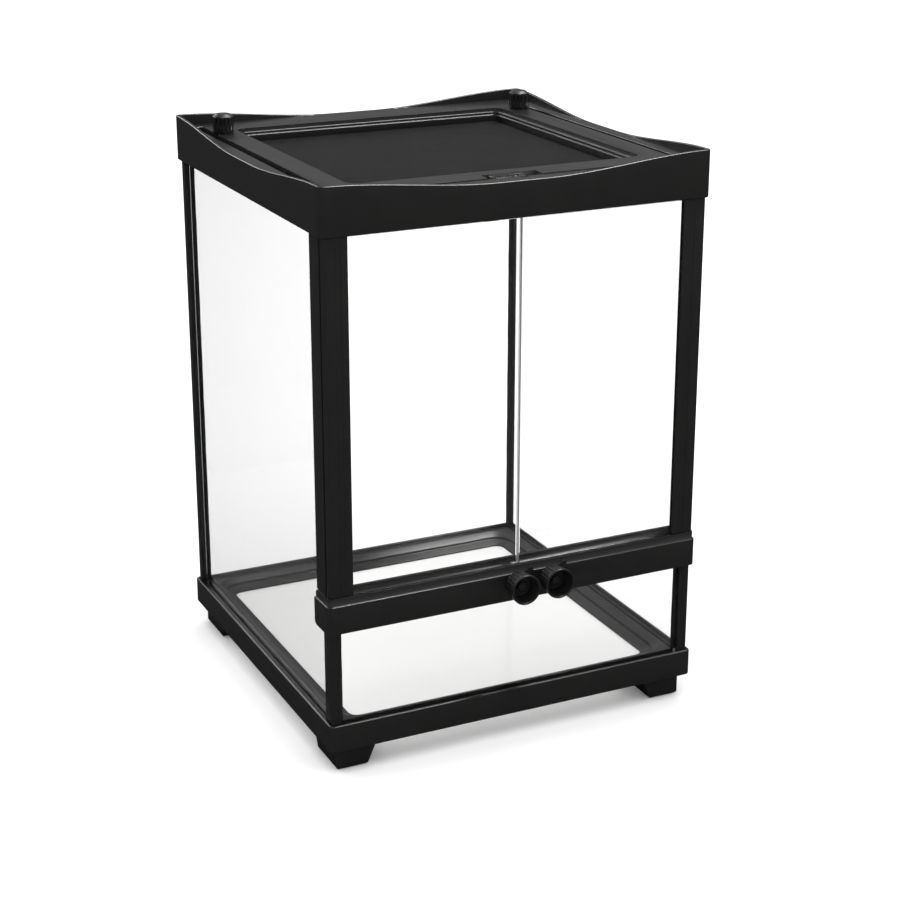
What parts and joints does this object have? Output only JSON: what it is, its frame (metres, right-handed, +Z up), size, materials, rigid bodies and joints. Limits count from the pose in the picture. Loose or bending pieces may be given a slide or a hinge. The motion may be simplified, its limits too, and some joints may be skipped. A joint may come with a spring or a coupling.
{
  "type": "glass terrarium",
  "caption": "Tall glass terrarium in black plastic frames, with outward opening front doors, turning door knobs and a lift-off mesh lid with locks.",
  "frame": {"origin": "middle of the footprint on the ground, with the door knobs counted in the footprint", "axes": "+X to the right along the front, -Y out of the front doors, +Z up"},
  "size_m": [0.315, 0.3346, 0.4568],
  "materials": {
    "black_plastic": "satin moulded black",
    "soft_black_plastic": "moulded black, slightly darker",
    "pane_glass": "clear float glass with polished edges",
    "silicone": "black silicone bead",
    "pin_steel": "bright drawn pin",
    "screen_wire": "black coated woven wire"
  },
  "bodies": {
    "housing": {"base_frame": "black_plastic", "front_left_foot": "soft_black_plastic", "front_right_foot": "soft_black_plastic", "back_left_foot": "soft_black_plastic", "back_right_foot": "soft_black_plastic", "floor_glass": "pane_glass", "floor_seal": "silicone", "left_glass": "pane_glass", "right_glass": "pane_glass", "back_glass": "pane_glass", "front_lower_glass": "pane_glass", "corner_seals": "silicone", "back_left_trim": "soft_black_plastic", "back_right_trim": "soft_black_plastic", "lower_left_trim": "soft_black_plastic", "lower_right_trim": "soft_black_plastic", "left_post": "soft_black_plastic", "right_post": "soft_black_plastic", "front_bar": "black_plastic", "top_frame": "black_plastic"},
    "left_door": {"left_door_stile": "black_plastic", "left_door_glass": "pane_glass", "left_hinge_pins": "pin_steel"},
    "right_door": {"right_door_stile": "black_plastic", "right_door_glass": "pane_glass", "right_hinge_pins": "pin_steel"},
    "left_door_knob": {"left_knob": "soft_black_plastic", "left_spindle": "soft_black_plastic", "left_spindle_nut": "soft_black_plastic"},
    "right_door_knob": {"right_knob": "soft_black_plastic", "right_spindle": "soft_black_plastic", "right_spindle_nut": "soft_black_plastic"},
    "lid": {"lid_frame": "black_plastic", "mesh_retainer": "soft_black_plastic", "screen_mesh": "screen_wire"},
    "left_lid_lock": {"left_lid_knob": "soft_black_plastic", "left_lid_cam": "soft_black_plastic"},
    "right_lid_lock": {"right_lid_knob": "soft_black_plastic", "right_lid_cam": "soft_black_plastic"},
    "latch_slide": {"lid_latch": "soft_black_plastic"}
  },
  "joints": [
    {"name": "left_door_swing", "type": "hinge", "parent": "housing", "child": "left_door", "pos_m": [-0.1522, -0.14245, 0.279], "axis": [0, 0, -1], "range_deg": [0, 110]},
    {"name": "right_door_swing", "type": "hinge", "parent": "housing", "child": "right_door", "pos_m": [0.1522, -0.14245, 0.279], "axis": [0, 0, 1], "range_deg": [0, 110]},
    {"name": "left_knob_turn", "type": "hinge", "parent": "housing", "child": "left_door_knob", "pos_m": [-0.004, -0.14775, 0.1315], "axis": [0, -1, 0], "range_deg": [0, 55]},
    {"name": "right_knob_turn", "type": "hinge", "parent": "housing", "child": "right_door_knob", "pos_m": [0.025, -0.14775, 0.1315], "axis": [0, -1, 0], "range_deg": [0, 55]},
    {"name": "lid_lift", "type": "slide", "parent": "housing", "child": "lid", "axis": [0, 0, 1], "range_m": [0, 0.06]},
    {"name": "left_lid_lock_turn", "type": "hinge", "parent": "lid", "child": "left_lid_lock", "pos_m": [-0.133, 0.11775, 0.44], "axis": [0, 0, -1], "range_deg": [0, 90]},
    {"name": "right_lid_lock_turn", "type": "hinge", "parent": "lid", "child": "right_lid_lock", "pos_m": [0.133, 0.11775, 0.44], "axis": [0, 0, 1], "range_deg": [0, 90]},
    {"name": "latch_slide_run", "type": "slide", "parent": "lid", "child": "latch_slide", "axis": [1, 0, 0], "range_m": [0, 0.008]}
  ]
}
